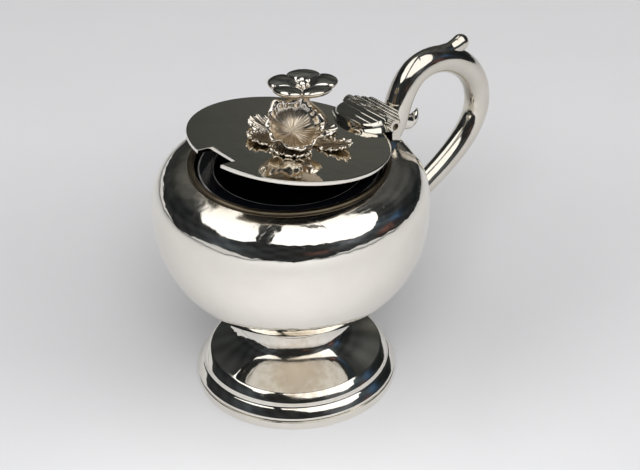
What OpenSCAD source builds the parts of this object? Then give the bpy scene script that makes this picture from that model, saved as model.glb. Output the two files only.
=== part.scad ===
// Silver mustard pot: a globular pot on a spreading foot, with a hinged flat lid that has a
// spoon slot and a flower finial, a scroll handle, and a loose dark glass liner.
// Millimetres. Z is up, the pot's axis is Z, the handle is on +X and the spoon slot on -X.

/* [Body] */
// Greatest radius of the pot's belly
body_r = 35; // [32:0.5:38]
// Height of the belly below its widest line
belly_h = 31.2; // [28:0.2:34]
// Roundness of the belly's lower half, 2 is an ellipse
belly_power = 2.22; // [2:0.02:2.6]
// Height from the widest line to the mouth
shoulder_h = 12.4; // [11:0.1:14]
// Thickness of the raised silver sheet
shell_t = 0.9; // [0.6:0.05:1.2]

/* [Mouth] */
// Radius of the shell's edge at the mouth
mouth_r = 24.5; // [23:0.1:25.5]
// Width of the half-round wire round the mouth
wire_w = 1.8; // [1.4:0.1:2.4]
// Height of that wire above the shell's edge
wire_h = 0.65; // [0.4:0.05:1]
// Wall of the collar inside the mouth that carries the liner
seat_t = 0.9; // [0.7:0.05:1.2]
// Depth of the liner's seat below the shell's edge
seat_depth = 3.0; // [2.6:0.1:3.6]
// Width of the ledge that the liner hangs on
ledge_w = 2.9; // [2.2:0.1:3.4]

/* [Liner] */
// Thickness of the liner's turned-out rim
liner_rim_t = 1.9; // [1.5:0.1:2.2]
// Wall of the glass
glass_t = 1.9; // [1.4:0.1:2.4]
// Depth of the liner below its seat
liner_depth = 28; // [22:0.5:31]
// How much narrower the liner is at its foot
liner_taper = 1.6; // [0.5:0.1:3]

/* [Foot] */
// Radius of the foot at the table
foot_r = 26; // [24:0.5:29]
// Height of the plain band at the bottom
band_h = 2.2; // [1.6:0.1:3]
// Width of the band's wire
band_w = 2.4; // [1.8:0.1:2.6]
// Height of the rounded moulding above the band
ovolo_h = 3.0; // [2.2:0.1:3.6]
// Radius at which the foot's hollow sweep ends above the mouldings
flare_r = 22; // [21:0.1:22.4]
// Height of that sweep, up to the neck
sweep_h = 9.8; // [8.5:0.1:11]
// Thickness of the foot's sheet
foot_t = 1.0; // [0.7:0.05:1.4]
// Outer radius of the neck between foot and belly
neck_r = 12.2; // [11.4:0.1:13.4]

/* [Lid] */
// Radius of the lid
lid_r = 25.4; // [25:0.1:27]
// Thickness of the lid's plate
lid_t = 1.0; // [0.8:0.05:1.4]
// Angle at which the lid stands ajar
lid_ajar = 10; // [0:1:30]
// Width of the spoon slot
slot_w = 8.9; // [6:0.1:11]
// Depth of the spoon slot from the lid's edge
slot_d = 4.9; // [3:0.1:6]

/* [Hinge] */
// Length of the hinge barrel
barrel_len = 18.4; // [16:0.2:20]
// Radius of the hinge barrel
barrel_r = 1.8; // [1.6:0.05:2]
// Radius of the hinge pin
pin_r = 0.85; // [0.6:0.05:1]
// Number of knuckles, an odd number
knuckles = 5; // [5:2:7]
// Length of the reeded tongue on the lid
tongue_len = 7.2; // [6:0.1:9]
// Height of the tongue over the lid at the barrel
tongue_h = 2.5; // [1.8:0.1:2.6]

/* [Handle] */
// Radius of the handle's tube at its root and arch
tube_r = 3.55; // [2.8:0.05:3.8]
// Radius of the handle's tube at its lower end
tube_end_r = 2.5; // [2:0.05:3]
// How far the handle reaches beyond the belly
handle_reach = 29.9; // [26:0.2:34]
// Height of the arch's centre line above the mouth
arch_h = 10.4; // [8.5:0.1:12]
// Depth of the handle's lower end below the widest line
handle_drop = 16.4; // [14:0.2:19]
// Radius of the knob on the handle's spur
knob_r = 2.2; // [1.6:0.1:2.6]
// Radius of the curl's tip behind the handle's root
curl_tip_r = 0.9; // [0.6:0.05:1.2]

/* [Finial] */
// Radius of the five-petalled flower
flower_r = 8.6; // [7:0.1:9.5]
// Thickness of its petals
petal_t = 0.9; // [0.6:0.05:1.2]
// Height of the flower's base above the lid
flower_h = 11.6; // [11:0.1:13]
// Radius of the open blossom below it
blossom_r = 6.9; // [5.5:0.1:7.2]
// Depth of the blossom's bowl
blossom_depth = 3.6; // [2.8:0.1:4.2]
// Thickness of the blossom's wall
blossom_t = 0.7; // [0.5:0.05:0.9]
// Length of each leaf
leaf_len = 9.2; // [7:0.1:10]
// Greatest width of each leaf
leaf_w = 6.6; // [5:0.1:7]
// Thickness of each leaf
leaf_t = 0.5; // [0.35:0.05:0.6]
// Radius of the threaded stud through the lid
stud_r = 1.0; // [0.8:0.05:1.3]
// Thickness of the nut under the lid
nut_t = 1.3; // [1:0.1:1.6]

/* [Fits] */
// Radial clearance of the hinge pin
pin_clear = 0.05; // [0.02:0.01:0.1]
// Gap between pieces that turn past each other
run_gap = 0.15; // [0.1:0.05:0.3]
// Gap round and under the loose liner
liner_gap = 0.35; // [0.2:0.05:0.6]
// Gap of a soldered or seated joint
seam = 0.02; // [0.01:0.01:0.05]

/* [Hidden] */
$fn = 96;

// Heights of the foot's mouldings, from the table up
ovolo_z = band_h + 0.9;
step_z = ovolo_z + ovolo_h + 0.5;
flare_z = step_z + 2.4;
neck_z = flare_z + sweep_h;
foot_h = neck_z + 1.4;
neck_t = 1.0;
neck_in = neck_r - neck_t;
// Heights of the pot: the belly's lowest point clears the foot's sheet
belly_gap = 0.5;
equator_z = foot_h + belly_gap + belly_h;
mouth_z = equator_z + shoulder_h;
wire_top = mouth_z + wire_h;
// The shoulder's curve starts upright at the widest line and ends nearly flat at the mouth
shoulder_rise = 8.4;
shoulder_run = 6.9;
shoulder_dip = 0.85;
// The closed lid rests on the mouth wire
lid_z = wire_top + run_gap;
lid_top = lid_z + lid_t;
axis_up = 1.0;
hinge_x = lid_r + barrel_r + 0.1;
hinge_z = lid_top + axis_up;
bore_r = pin_r + pin_clear;
silver = [0.78, 0.77, 0.74];
worn_silver = [0.68, 0.63, 0.54];
dark_glass = [0.05, 0.06, 0.09];

// Shared curves. Points of a cubic curve, of the belly and of the shoulder.
function bez(p, t) = pow(1 - t, 3) * p[0] + 3 * t * pow(1 - t, 2) * p[1]
    + 3 * t * t * (1 - t) * p[2] + pow(t, 3) * p[3];
function slope(p, t) = pow(1 - t, 2) * (p[1] - p[0]) + 2 * t * (1 - t) * (p[2] - p[1])
    + t * t * (p[3] - p[2]);
function unit(v) = v / norm(v);
function rounded(r, h, power, a) = [r * pow(cos(a), 2 / power), h * pow(sin(a), 2 / power)];
function drop_at(r, big_r, h, power) = h * pow(1 - pow(r / big_r, power), 1 / power);
function belly(t, steps) = [for (i = [0 : steps])
    let (p = rounded(body_r - t, belly_h - t, belly_power, 90 * (1 - i / steps)))
    [p[0], equator_z - p[1]]];
function shoulder_curve(t) = [[body_r - t, equator_z], [body_r - t, equator_z + shoulder_rise],
    [mouth_r + shoulder_run, mouth_z - shoulder_dip - t], [mouth_r, mouth_z - t]];
function shoulder(t, steps) = [for (i = [1 : steps]) bez(shoulder_curve(t), i / steps)];
function body_outline(t) = concat(belly(t, 24), shoulder(t, 16));
function reversed(list) = [for (i = [len(list) - 1 : -1 : 0]) list[i]];
function belly_r_at(drop) = body_r * pow(1 - pow(drop / belly_h, belly_power), 1 / belly_power);

// A solid that follows a path: a ring of points round each place, cut to a plane at the ends.
function ring(c, t, r, cut, sides) = let (u = unit([0, 1, 0] - t[1] * t), v = cross(t, u))
    [for (k = [0 : sides - 1])
        let (a = 360 * k / sides, p = r * (cos(a) * u + sin(a) * v))
        c + p - t * ((p * cut) / (t * cut))];
function quad(a, b, c, d) = [[a, b, c], [a, c, d]];
function tube_faces(rings, sides) = concat(
    [for (i = [0 : rings - 2], k = [0 : sides - 1])
        let (a = i * sides, n = (k + 1) % sides)
        each quad(a + k, a + sides + k, a + sides + n, a + n)],
    [[for (k = [0 : sides - 1]) k]],
    [[for (k = [sides - 1 : -1 : 0]) (rings - 1) * sides + k]]);
module swept(centres, tangents, radii, cut_first, cut_last, sides) {
    last = len(centres) - 1;
    polyhedron([for (i = [0 : last])
        each ring(centres[i], tangents[i], radii[i],
            i == 0 ? cut_first : i == last ? cut_last : tangents[i], sides)],
        tube_faces(last + 1, sides));
}

// A thin closed sheet worked out on rings and spokes: an upper and a lower height, one outline.
function sheet_faces(rings, spokes) = let (low = 1 + rings * spokes, end = low + rings * spokes)
    concat(
    [for (k = [0 : spokes - 1]) let (n = (k + 1) % spokes) [0, 1 + n, 1 + k]],
    [for (k = [0 : spokes - 1]) let (n = (k + 1) % spokes) [end, low + k, low + n]],
    [for (i = [0 : rings - 2], k = [0 : spokes - 1])
        let (n = (k + 1) % spokes, a = 1 + i * spokes, b = a + spokes)
        each quad(a + k, a + n, b + n, b + k)],
    [for (i = [0 : rings - 2], k = [0 : spokes - 1])
        let (n = (k + 1) % spokes, a = low + i * spokes, b = a + spokes)
        each quad(a + k, b + k, b + n, a + n)],
    [for (k = [0 : spokes - 1])
        let (n = (k + 1) % spokes, t = low - spokes, b = end - spokes)
        each quad(b + k, t + k, t + n, b + n)]);
module sheet(upper, lower, rings, spokes) {
    polyhedron(concat([upper(0, 0)],
        [for (i = [1 : rings], k = [0 : spokes - 1]) upper(i / rings, 360 * k / spokes)],
        [for (i = [1 : rings], k = [0 : spokes - 1]) lower(i / rings, 360 * k / spokes)],
        [lower(0, 0)]), sheet_faces(rings, spokes));
}

// The lid and all that it carries, turned about the hinge to where the lid stands ajar
module ajar() {
    translate([hinge_x, 0, hinge_z]) rotate([0, lid_ajar, 0])
        translate([-hinge_x, 0, -hinge_z]) children();
}
module on_lid() {
    ajar() translate([0, 0, lid_top]) children();
}

// Raised pot: one sheet from the middle of the base to the mouth
module body_shell() {
    color(silver) rotate_extrude()
        polygon(concat(body_outline(0), reversed(body_outline(shell_t))));
}

// Half-round wire soldered over the shell's edge and the top of the liner's collar
module mouth_wire() {
    wire_in = mouth_r - seat_t + 0.1;
    wire_out = wire_in + wire_w;
    flank = 0.15;
    color(worn_silver) rotate_extrude()
        polygon(concat([[wire_in, mouth_z + seam], [wire_out, mouth_z + seam]],
            [for (a = [0 : 15 : 180])
                [(wire_in + wire_out) / 2 + wire_w / 2 * cos(a),
                 mouth_z + flank + (wire_h - flank) * sin(a)]]));
}

// Collar inside the mouth with an inward ledge at its foot
seat_top = mouth_z - seat_depth;
seat_out = mouth_r - seam;
seat_in = mouth_r - seat_t;
ledge_in = seat_in - ledge_w;
module liner_seat() {
    color(silver) rotate_extrude()
        polygon([[ledge_in, seat_top - seat_t], [seat_out, seat_top - seat_t], [seat_out, mouth_z],
                 [seat_in, mouth_z], [seat_in, seat_top], [ledge_in, seat_top]]);
}

// Loose glass liner: a rounded cup that hangs by its turned-out rim
cup_r = ledge_in - liner_gap;
liner_z = seat_top + seam;
module glass_liner() {
    rim_r = seat_in - liner_gap;
    lip = liner_rim_t / 2;
    foot_out = cup_r - liner_taper;
    curve = 7;
    bottom = liner_z - liner_depth;
    inside = foot_out - glass_t;
    color(dark_glass) rotate_extrude()
        polygon(concat(
            [for (a = [-90 : 15 : 0])
                [foot_out - curve + curve * cos(a), bottom + curve + curve * sin(a)]],
            [[cup_r, liner_z]],
            [for (a = [-90 : 15 : 90]) [rim_r - lip + lip * cos(a), liner_z + lip + lip * sin(a)]],
            [for (a = [90 : 15 : 180])
                [cup_r - glass_t + lip + lip * cos(a), liner_z + lip + lip * sin(a)]],
            [for (a = [0 : -15 : -90])
                [inside - curve + glass_t + (curve - glass_t) * cos(a),
                 bottom + curve + (curve - glass_t) * sin(a)]],
            [[0, bottom + glass_t], [0, bottom]]));
}

// Neck ring between the foot and the belly, with a bead round its lower edge
function belly_z_at(r) = equator_z - drop_at(r, body_r, belly_h, belly_power);
module neck_collar() {
    spans = 4;
    radii = [for (i = [spans : -1 : 0]) neck_in + neck_t * i / spans];
    bead_r = 0.7;
    bead_z = neck_z + seam + bead_r;
    color(silver) rotate_extrude()
        polygon(concat(
            [[neck_in, neck_z + seam]],
            [for (a = [-90 : 15 : 90]) [neck_r + bead_r * cos(a), bead_z + bead_r * sin(a)]],
            [for (r = radii) [r, belly_z_at(r) - seam]]));
}

// Spun foot, open below: a hollow sweep from the neck, a rolled edge, a sloping step, a rounded
// moulding and a groove
foot_sweep = [[neck_r, neck_z], [neck_r, neck_z - 0.34 * sweep_h],
              [neck_r + 0.31 * (flare_r - neck_r), flare_z + 0.49 * sweep_h], [flare_r, flare_z]];
function sweep_curve(t, steps) = [for (i = [0 : steps])
    let (s = unit(slope(foot_sweep, i / steps))) bez(foot_sweep, i / steps) - t * [-s[1], s[0]]];
module foot_spread() {
    roll_r = flare_r + 1.1;
    step_r = roll_r + 0.3;
    roll = [foot_sweep[3], foot_sweep[3] + 0.7 * unit(slope(foot_sweep, 1)), [roll_r, flare_z - 1.0],
            [roll_r, flare_z - 1.7]];
    lip = 0.35;
    groove = 0.5;
    color(silver) rotate_extrude()
        polygon(concat(
            sweep_curve(0, 20),
            [for (i = [1 : 6]) bez(roll, i / 6)],
            [[step_r, step_z], [step_r, ovolo_z + ovolo_h]],
            [for (a = [75 : -15 : 0])
                [step_r + (foot_r - step_r) * cos(a), ovolo_z + ovolo_h * sin(a)]],
            [[foot_r, ovolo_z - lip], [foot_r - groove, ovolo_z - lip],
             [foot_r - groove, band_h + seam], [foot_r - groove - foot_t, band_h + seam]],
            [for (a = [0 : 15 : 90])
                [step_r - foot_t / 2 + (foot_r - groove - step_r - foot_t / 2) * cos(a),
                 ovolo_z + (ovolo_h - foot_t) * sin(a)]],
            reversed(sweep_curve(foot_t, 20))));
}

// Plain wire soldered under the foot, on which the pot stands
module foot_band() {
    ease = 0.25;
    color(silver) rotate_extrude()
        polygon([[foot_r - band_w, 0], [foot_r - ease, 0], [foot_r, ease],
                 [foot_r, band_h - ease], [foot_r - ease, band_h], [foot_r - band_w, band_h]]);
}

// Handle: a scroll from the shoulder over an arch and back to the belly, in the plane y = 0.
// root_t is where it leaves the shoulder's curve; the four runs share their end tangents.
root_t = 0.42;
root = bez(shoulder_curve(0), root_t);
root_dir = let (s = unit(slope(shoulder_curve(0), root_t))) [s[1], -s[0]];
arch = [body_r + 11, mouth_z + arch_h];
bow = [body_r + handle_reach, equator_z + 5.6];
tail = [body_r + 11.5, equator_z - handle_drop + 3.3];
tail_dir = unit([-0.894, -0.447]);
end_r = belly_r_at(handle_drop);
handle_end = [end_r, equator_z - handle_drop];
end_dir = unit([pow(end_r / body_r, belly_power - 1) / body_r,
               -pow(handle_drop / belly_h, belly_power - 1) / belly_h]);
handle_runs = [
    [root + seam * root_dir, root + 4.1 * root_dir, arch + [-9.8, -0.8], arch],
    [arch, arch + [8.5, 0.7], bow + [0, 10], bow],
    [bow, bow - [0, 9.3], tail - 8.4 * tail_dir, tail],
    [tail, tail + 5.6 * tail_dir, handle_end + [5.6, -0.5], handle_end + seam * end_dir]];
function in_space(p) = [p[0], 0, p[1]];
function run_at(i) = min(floor(i), len(handle_runs) - 1);
function handle_point(i) = in_space(bez(handle_runs[run_at(i)], i - run_at(i)));
function handle_tangent(i) = in_space(unit(slope(handle_runs[run_at(i)], i - run_at(i))));
function handle_r(i) = tube_r + (tube_end_r - tube_r) * pow(max(0, i - 1.4) / 2.6, 1.2);
module handle_solid(grow) {
    steps = 11;
    places = [for (i = [0 : steps * len(handle_runs)]) i / steps];
    swept([for (i = places) handle_point(i)], [for (i = places) handle_tangent(i)],
        [for (i = places) handle_r(i) + grow], -in_space(root_dir), -in_space(end_dir), 20);
}
module handle() {
    color(silver) handle_solid(0);
}

// A row of balls joined pair by pair, for the spur and the curl cast on the handle
module horn(curve, radii, steps) {
    size = function(t) let (i = min(floor(t * (len(radii) - 1)), len(radii) - 2))
        radii[i] + (radii[i + 1] - radii[i]) * (t * (len(radii) - 1) - i);
    for (i = [0 : steps - 1])
        hull() for (t = [i / steps, (i + 1) / steps])
            translate(in_space(bez(curve, t))) sphere(r = size(t), $fn = 20);
}
module handle_spur() {
    over = tube_r - 2.4;
    color(silver) difference() {
        horn([arch + [1, over - 0.6], arch + [5, over + 0.2], arch + [8.6, over - 0.8],
              arch + [12.4, over + 0.5]], [2.5, 2.3, 1.9, knob_r], 9);
        handle_solid(seam);
    }
}
module handle_curl() {
    heel = root + [4.4, 1.2];
    color(silver) difference() {
        horn([heel, heel + [3.0, -2.2], heel + [5.6, -2.0], heel + [6.0, 0.6]],
            [2.2, 2.0, 1.3, curl_tip_r], 9);
        handle_solid(seam);
    }
}

// Hinge barrel: knuckles shared by turns between the pot and the lid, reeded along their top
knuckle_len = barrel_len / knuckles;
module knuckle(i) {
    reed_r = 0.34;
    from = -barrel_len / 2 + i * knuckle_len + run_gap / 2;
    translate([hinge_x, from, hinge_z]) rotate([-90, 0, 0]) {
        cylinder(r = barrel_r - 0.2, h = knuckle_len - run_gap);
        for (a = [-150 : 20 : -50])
            rotate(a) translate([barrel_r - reed_r, 0, 0])
                cylinder(r = reed_r, h = knuckle_len - run_gap);
    }
}
module hinge_bore() {
    translate([hinge_x, -barrel_len, hinge_z]) rotate([-90, 0, 0])
        cylinder(r = bore_r, h = 2 * barrel_len);
}
module knuckle_room(i) {
    translate([hinge_x, -barrel_len / 2 + i * knuckle_len - run_gap / 2, hinge_z])
        rotate([-90, 0, 0]) cylinder(r = barrel_r + run_gap, h = knuckle_len + run_gap);
}
module along_hinge(len) {
    translate([0, len / 2, 0]) rotate([90, 0, 0]) linear_extrude(len) children();
}

// Pot's leaf: knuckles on a reeded block that fills the shoulder up to the handle's root
module hinge_pot_leaf() {
    back = root[0] + 2.85 - tube_r;
    top = hinge_z + 0.55;
    reeds = 3;
    reed_from = hinge_x + barrel_r;
    pitch = (back - reed_from) / reeds;
    half = barrel_len / 2;
    color(silver) difference() {
        union() {
            intersection() {
                union() {
                    along_hinge(barrel_len)
                        polygon([[hinge_x - 1.1, mouth_z - 4], [back - 2.5, mouth_z - 4],
                                 [back - 1.2, mouth_z - 0.3], [back, mouth_z + 2], [back, top],
                                 [hinge_x + 1.0, top], [hinge_x, hinge_z],
                                 [hinge_x - 1.1, hinge_z - barrel_r + 0.3]]);
                    for (i = [0 : reeds - 1])
                        translate([reed_from + (i + 0.5) * pitch, half, top + 0.1])
                            rotate([90, 0, 0]) cylinder(r = pitch * 0.46, h = barrel_len);
                }
                translate([0, 0, mouth_z - 10]) linear_extrude(20)
                    polygon([[hinge_x - 3, -half], [hinge_x + 1.6, -half], [back, -4.2],
                             [back, 4.2], [hinge_x + 1.6, half], [hinge_x - 3, half]]);
            }
            for (i = [0 : 2 : knuckles - 1]) knuckle(i);
        }
        for (i = [1 : 2 : knuckles - 1]) knuckle_room(i);
        hinge_bore();
        rotate_extrude() polygon(concat(body_outline(-seam), [[0, mouth_z + seam]]));
    }
}

// Pin through all the knuckles, a little short of the barrel's ends
module hinge_pin() {
    short = 0.6;
    color(worn_silver) translate([hinge_x, -barrel_len / 2 + short, hinge_z]) rotate([-90, 0, 0])
        cylinder(r = pin_r, h = barrel_len - 2 * short);
}

// Flat lid with its spoon slot, a straight edge along the hinge and a hole for the finial's stud
module lid_plate() {
    ease = 0.15;
    hinge_edge = hinge_x - barrel_r - 2 * run_gap;
    color(silver) ajar() difference() {
        rotate_extrude()
            polygon([[0, lid_z], [lid_r - ease, lid_z], [lid_r, lid_z + ease],
                     [lid_r, lid_top - ease], [lid_r - ease, lid_top], [0, lid_top]]);
        translate([-lid_r - 5, -slot_w / 2, lid_z - 1]) cube([5 + slot_d, slot_w, lid_t + 2]);
        translate([hinge_edge, -barrel_len, lid_z - 1]) cube([5, 2 * barrel_len, lid_t + 2]);
        translate(finial_at + [0, 0, lid_z - 1]) cylinder(r = stud_r + seam, h = lid_t + 2);
    }
}

// Lid's leaf: a reeded tongue with a rounded front that rises to the barrel, with the lid's knuckles
module hinge_lid_leaf() {
    base_x = hinge_x - 0.9;
    tip_x = hinge_x - barrel_r - tongue_len;
    half = barrel_len / 2;
    tip_h = 1.3;
    reeds = 5;
    pitch = tongue_len / reeds;
    foot_z = lid_top + seam;
    roundness = 2.6;
    front = [for (a = [0 : 6 : 90])
        [base_x - (base_x - tip_x) * pow(cos(a), 2 / roundness), half * pow(sin(a), 2 / roundness)]];
    color(silver) ajar() difference() {
        union() {
            intersection() {
                union() {
                    along_hinge(barrel_len)
                        polygon([[tip_x, foot_z], [base_x, foot_z], [base_x, lid_top + tongue_h],
                                 [tip_x, lid_top + tip_h]]);
                    for (i = [0 : reeds - 1])
                        translate([tip_x + (i + 0.5) * pitch, half,
                                   lid_top + tip_h + (tongue_h - tip_h) * (i + 0.5) / reeds - 0.25])
                            rotate([90, 0, 0]) cylinder(r = pitch * 0.55, h = barrel_len);
                }
                translate([0, 0, foot_z]) linear_extrude(10)
                    polygon(concat([for (p = front) [p[0], -p[1]]],
                                   [for (i = [len(front) - 1 : -1 : 1]) front[i]]));
            }
            for (i = [1 : 2 : knuckles - 1]) knuckle(i);
        }
        for (i = [0 : 2 : knuckles - 1]) knuckle_room(i);
        hinge_bore();
    }
}

// Boss under the blossom, cut to the blossom's slant, with a threaded stud through the lid
blossom_tilt = 36;
blossom_turn = 239;
blossom_base = 2.75;
blossom_out = 2.9;
finial_at = blossom_out * [cos(blossom_turn), sin(blossom_turn), 0];
boss_r = 2.1;
stud_len = lid_t + nut_t + 0.5;
module slanted() {
    translate(finial_at + [0, 0, blossom_base]) rotate([0, 0, blossom_turn])
        rotate([0, blossom_tilt, 0]) children();
}
module finial_boss() {
    color(worn_silver) on_lid() {
        difference() {
            translate(finial_at + [0, 0, seam]) cylinder(r = boss_r, h = blossom_base + boss_r);
            slanted() translate([-10, -10, -seam]) cube([20, 20, 10]);
        }
        translate(finial_at - [0, 0, stud_len]) cylinder(r = stud_r, h = stud_len + 2 * seam);
    }
}

// Round nut that holds the finial's stud under the lid
module finial_nut() {
    nut_r = 2.8;
    color(silver) ajar() translate(finial_at + [0, 0, lid_z - nut_t - seam]) difference() {
        cylinder(r = nut_r, h = nut_t);
        translate([0, 0, -1]) cylinder(r = stud_r + seam, h = nut_t + 2);
        translate([-nut_r, -0.35, -1]) cube([2 * nut_r, 0.7, 1.4]);
    }
}

// Open blossom with a crinkled rim, tipped towards the slot's near side
function blossom_edge(a) = blossom_r * (1 + 0.045 * sin(7 * a + 40) + 0.03 * sin(13 * a));
function blossom_top(s, a) = blossom_t + blossom_depth * pow(s, 2.2)
    + 0.35 * pow(s, 4) * sin(9 * a + 20) - 0.15 * s * (1 - s) * sin(24 * a);
module finial_blossom() {
    upper = function(s, a) let (r = s * blossom_edge(a)) [r * cos(a), r * sin(a), blossom_top(s, a)];
    lower = function(s, a) let (r = s * blossom_edge(a))
        [r * cos(a), r * sin(a), max(0, blossom_top(s, a) - blossom_t - 0.3 * s)];
    color(worn_silver) on_lid() slanted() sheet(upper, lower, 7, 72);
}

// Stem that rises from the lid on the hinge side and opens into the flower's calyx
flower_at = [3.85, 1.25, flower_h];
flower_tilt = 7.8;
flower_turn = 133;
module flower_place() {
    translate(flower_at) rotate([0, 0, flower_turn]) rotate([0, flower_tilt, 0]) children();
}
flower_axis = [sin(flower_tilt) * cos(flower_turn), sin(flower_tilt) * sin(flower_turn),
               cos(flower_tilt)];
module finial_stem() {
    foot = [13.6, 1.9, seam];
    curve = [foot, foot + [-2.1, 0.3, 0.52 * flower_h], flower_at - [0, 0, 5.2],
             flower_at - seam * flower_axis];
    steps = 20;
    calyx_r = 2.4;
    thin = 0.6;
    size = function(t) thin + 0.25 * pow(1 - t, 3) + (calyx_r - thin) * pow(t, 3.5);
    color(worn_silver) on_lid()
        swept([for (i = [0 : steps]) bez(curve, i / steps)],
            [for (i = [0 : steps]) unit(slope(curve, i / steps))],
            [for (i = [0 : steps]) size(i / steps)], [0, 0, 1], flower_axis, 16);
}

// Five-petalled flower: each petal a shallow pillow with a raised rim
petals = 5;
function petal(a) = pow(abs(cos(petals * a / 2)), 0.55);
function flower_edge(a) = flower_r * (0.76 + 0.24 * petal(a));
function flower_top(s, a) = petal_t + 1.5 * s * s - 0.5 * s * (1 - petal(a));
module finial_flower() {
    upper = function(s, a) let (r = s * flower_edge(a)) [r * cos(a), r * sin(a), flower_top(s, a)];
    lower = function(s, a) let (r = s * flower_edge(a))
        [r * cos(a), r * sin(a), max(0, flower_top(s, a) - petal_t - 0.5 * s)];
    color(silver) on_lid() flower_place() sheet(upper, lower, 7, 80);
}

// Cluster of small lobes at the heart of the flower
module flower_button() {
    heart_r = 1.3;
    lobe_r = 0.7;
    color(worn_silver) on_lid() flower_place() translate([0, 0, petal_t + 0.12])
        intersection() {
            union() {
                sphere(r = heart_r);
                for (i = [0 : petals - 1])
                    rotate(360 / petals * (i + 0.5)) translate([heart_r, 0, 0.1]) sphere(r = lobe_r);
            }
            translate([-5, -5, 0]) cube([10, 10, 5]);
        }
}

// Toothed leaf lying on the lid, its tip lifted and its midrib sunk
module leaf(turn, start, lift, broad = 1) {
    reach = function(a) 1 + 0.06 * sin(11 * a);
    height = function(x, y) leaf_t + lift * pow(x / leaf_len, 2)
        - 0.18 * exp(-pow(y / 0.6, 2)) * min(1, x);
    spread = function(s, a) [leaf_len / 2 * (1 + s * cos(a) * reach(a)),
        broad * leaf_w / 2 * s * sin(a) * reach(a) * (1 - 0.3 * cos(a))];
    upper = function(s, a) let (p = spread(s, a)) [p[0], p[1], height(p[0], p[1])];
    lower = function(s, a) let (p = spread(s, a))
        [p[0], p[1], max(0, height(p[0], p[1]) - leaf_t)];
    color(worn_silver) on_lid() rotate(turn) translate([start, 0, seam]) sheet(upper, lower, 4, 44);
}
module leaf_front_right() { leaf(-57, 6.6, 1.6); }
module leaf_hinge_side() { leaf(-5, 4.8, 0.3); }
module leaf_back() { leaf(104, 4.2, 2.2); }
module leaf_slot_side() { leaf(168, 3.3, 1.5); }
module leaf_front() { leaf(233, 5.6, 0.4, 1.35); }

body_shell();
mouth_wire();
liner_seat();
neck_collar();
foot_spread();
foot_band();
handle();
handle_spur();
handle_curl();
hinge_pot_leaf();
hinge_pin();
lid_plate();
hinge_lid_leaf();
finial_boss();
finial_nut();
finial_blossom();
finial_stem();
finial_flower();
flower_button();
leaf_front_right();
leaf_hinge_side();
leaf_back();
leaf_slot_side();
leaf_front();
glass_liner();
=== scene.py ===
import math

import bpy
import numpy as np
from mathutils import Matrix


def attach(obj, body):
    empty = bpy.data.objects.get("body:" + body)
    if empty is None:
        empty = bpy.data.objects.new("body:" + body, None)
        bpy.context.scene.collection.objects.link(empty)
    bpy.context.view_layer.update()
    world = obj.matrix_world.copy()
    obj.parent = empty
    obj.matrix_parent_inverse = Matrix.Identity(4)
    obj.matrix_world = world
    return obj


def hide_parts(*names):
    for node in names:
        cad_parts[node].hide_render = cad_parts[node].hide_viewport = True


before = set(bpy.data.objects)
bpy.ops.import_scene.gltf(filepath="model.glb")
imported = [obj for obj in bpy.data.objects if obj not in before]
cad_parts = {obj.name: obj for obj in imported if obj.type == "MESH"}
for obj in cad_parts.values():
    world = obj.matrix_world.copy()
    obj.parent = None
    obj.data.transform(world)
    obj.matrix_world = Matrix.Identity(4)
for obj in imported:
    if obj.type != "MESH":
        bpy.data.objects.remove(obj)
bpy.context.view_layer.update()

# Foot band: a plain silver wire bent to a ring and soldered under the foot. The pot stands on its
# flat underside. Its polish is the one that all the silver pieces share. Lengths are in millimetres.
MM = 0.001
foot_r = 26.0
band_h, band_w, band_ease = 2.2, 2.4, 0.3


def eased(corners, cut, steps=5):
    """Closed outline with soft corners: each corner becomes the quadratic curve that starts and
    ends `cut` away from it along its two sides."""
    p = np.asarray(corners, float)
    back, ahead = np.roll(p, 1, 0) - p, np.roll(p, -1, 0) - p
    back_len, ahead_len = (np.linalg.norm(v, axis=1, keepdims=True) for v in (back, ahead))
    cut = np.minimum(np.broadcast_to(cut, len(p))[:, None], 0.45 * np.minimum(back_len, ahead_len))
    start, end = p + back / back_len * cut, p + ahead / ahead_len * cut
    t = np.linspace(0, 1, steps)[:, None, None]
    curve = (1 - t) ** 2 * start + 2 * t * (1 - t) * p + t**2 * end
    return curve.transpose(1, 0, 2).reshape(-1, 2)


def grid_faces(rows, cols, round_rows=False):
    """Faces between the neighbours of a grid of points whose columns run round and close; with
    round_rows the last row joins the first as well."""
    i = np.arange(rows if round_rows else rows - 1)[:, None]
    j = np.arange(cols)[None, :]
    after_i, after_j = (i + 1) % rows, (j + 1) % cols
    corners = np.broadcast_arrays(i * cols + j, i * cols + after_j,
                                  after_i * cols + after_j, after_i * cols + j)
    return np.stack(corners, -1).reshape(-1, 4)


def fan(rim, centre, outward):
    """Triangles from one centre point to a closed rim of point numbers, turned the given way."""
    middle, ahead = np.full_like(rim, centre), np.roll(rim, -1)
    return np.stack((middle, rim, ahead) if outward else (middle, ahead, rim), 1)


def capped(rings, first=None, last=None):
    """Rings of points, one after another, as a closed surface. An end point closes its end with a
    fan; with no end points the last ring joins the first."""
    rows, cols = rings.shape[:2]
    points = [rings.reshape(-1, 3)]
    faces = grid_faces(rows, cols, first is None and last is None).tolist()
    count = rows * cols
    if first is not None:
        faces += fan(np.arange(cols), count, False).tolist()
        points.append([first])
        count += 1
    if last is not None:
        faces += fan(np.arange(cols) + (rows - 1) * cols, count, True).tolist()
        points.append([last])
    return np.vstack(points), faces


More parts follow.
